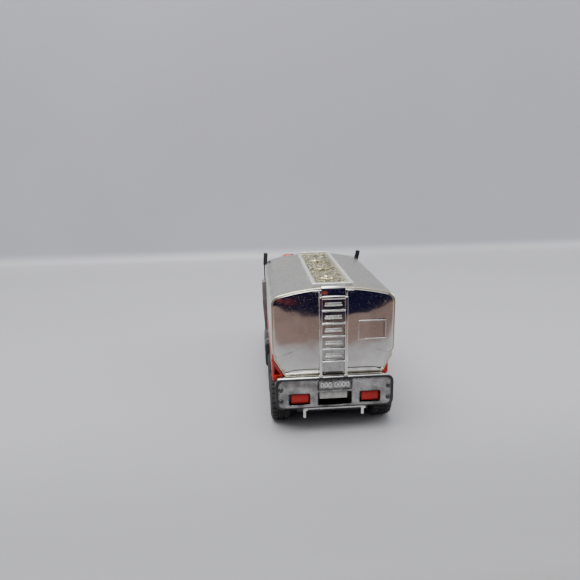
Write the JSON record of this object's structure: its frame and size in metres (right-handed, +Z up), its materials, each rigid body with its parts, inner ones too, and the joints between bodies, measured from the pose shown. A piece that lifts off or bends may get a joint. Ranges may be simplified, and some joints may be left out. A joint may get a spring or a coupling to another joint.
{
  "type": "toy tanker truck",
  "caption": "Pocket-size toy tanker truck with a bonneted cab, a plated tank with walkway and rear ladder on a red cradle, and rolling wheelsets.",
  "frame": {"origin": "on the ground under the middle of the truck", "axes": "+Y towards the bonnet, +X to the driver's right, +Z up"},
  "size_m": [0.0326, 0.076, 0.0374],
  "materials": {
    "tank_plating": "bright vacuum plating on a plastic moulding, slightly yellowed at the edges",
    "tarnished_plating": "plating worn yellowish and dull",
    "worn_plating": "silver plating over black plastic, chipped at the edges",
    "red_paint": "gloss red enamel",
    "black_plastic": "satin black moulding",
    "grey_plastic": "satin grey moulding",
    "pale_plastic": "pale grey moulding",
    "window_plastic": "clear tinted moulding",
    "clear_plastic": "clear moulding",
    "red_lens": "glossy red moulding",
    "dark_lens": "dark plated dome with its plating rubbed",
    "interior_plastic": "dark grey moulding",
    "tyre_rubber": "matt black",
    "hub_plating": "silver plated plastic",
    "axle_steel": "bright drawn steel"
  },
  "bodies": {
    "chassis": {"base_plate": "black_plastic", "chassis_frame": "black_plastic", "tank_cradle": "red_paint", "tank_shell": "tank_plating", "walkway_tray": "tarnished_plating", "hatch_rear": "tarnished_plating", "hatch_middle": "tarnished_plating", "hatch_front": "tarnished_plating", "rear_ladder": "tank_plating", "rear_bumper": "worn_plating", "number_plate": "worn_plating", "latch_tongue": "pale_plastic", "underrun_bar": "worn_plating", "cab_shell": "red_paint", "cab_glazing": "window_plastic", "cab_interior": "interior_plastic", "steering_wheel": "interior_plastic", "front_grille": "black_plastic", "front_bumper": "worn_plating", "base_rivet_rear": "axle_steel", "base_rivet_front": "axle_steel", "tail_lamp_left": "red_lens", "corner_lamp_lower_left": "dark_lens", "corner_lamp_upper_left": "dark_lens", "headlamp_left": "clear_plastic", "mirror_left": "black_plastic", "side_fairing_left": "grey_plastic", "fuel_tank_left": "black_plastic", "tail_lamp_right": "red_lens", "corner_lamp_lower_right": "dark_lens", "corner_lamp_upper_right": "dark_lens", "headlamp_right": "clear_plastic", "mirror_right": "black_plastic", "side_fairing_right": "grey_plastic", "tool_box_right": "black_plastic"},
    "wheelset_rear": {"axle_rear": "axle_steel", "tyre_rear_left": "tyre_rubber", "hub_rear_left": "hub_plating", "tyre_rear_right": "tyre_rubber", "hub_rear_right": "hub_plating"},
    "wheelset_middle": {"axle_middle": "axle_steel", "tyre_middle_left": "tyre_rubber", "hub_middle_left": "hub_plating", "tyre_middle_right": "tyre_rubber", "hub_middle_right": "hub_plating"},
    "wheelset_front": {"axle_front": "axle_steel", "tyre_front_left": "tyre_rubber", "hub_front_left": "hub_plating", "tyre_front_right": "tyre_rubber", "hub_front_right": "hub_plating"}
  },
  "joints": [
    {"name": "rear_wheels_roll", "type": "hinge", "parent": "chassis", "child": "wheelset_rear", "pos_m": [0, -0.02815, 0.006], "axis": [1, 0, 0], "continuous": true},
    {"name": "middle_wheels_roll", "type": "hinge", "parent": "chassis", "child": "wheelset_middle", "pos_m": [0, -0.01415, 0.006], "axis": [1, 0, 0], "continuous": true},
    {"name": "front_wheels_roll", "type": "hinge", "parent": "chassis", "child": "wheelset_front", "pos_m": [0, 0.02758, 0.006], "axis": [1, 0, 0], "continuous": true}
  ]
}
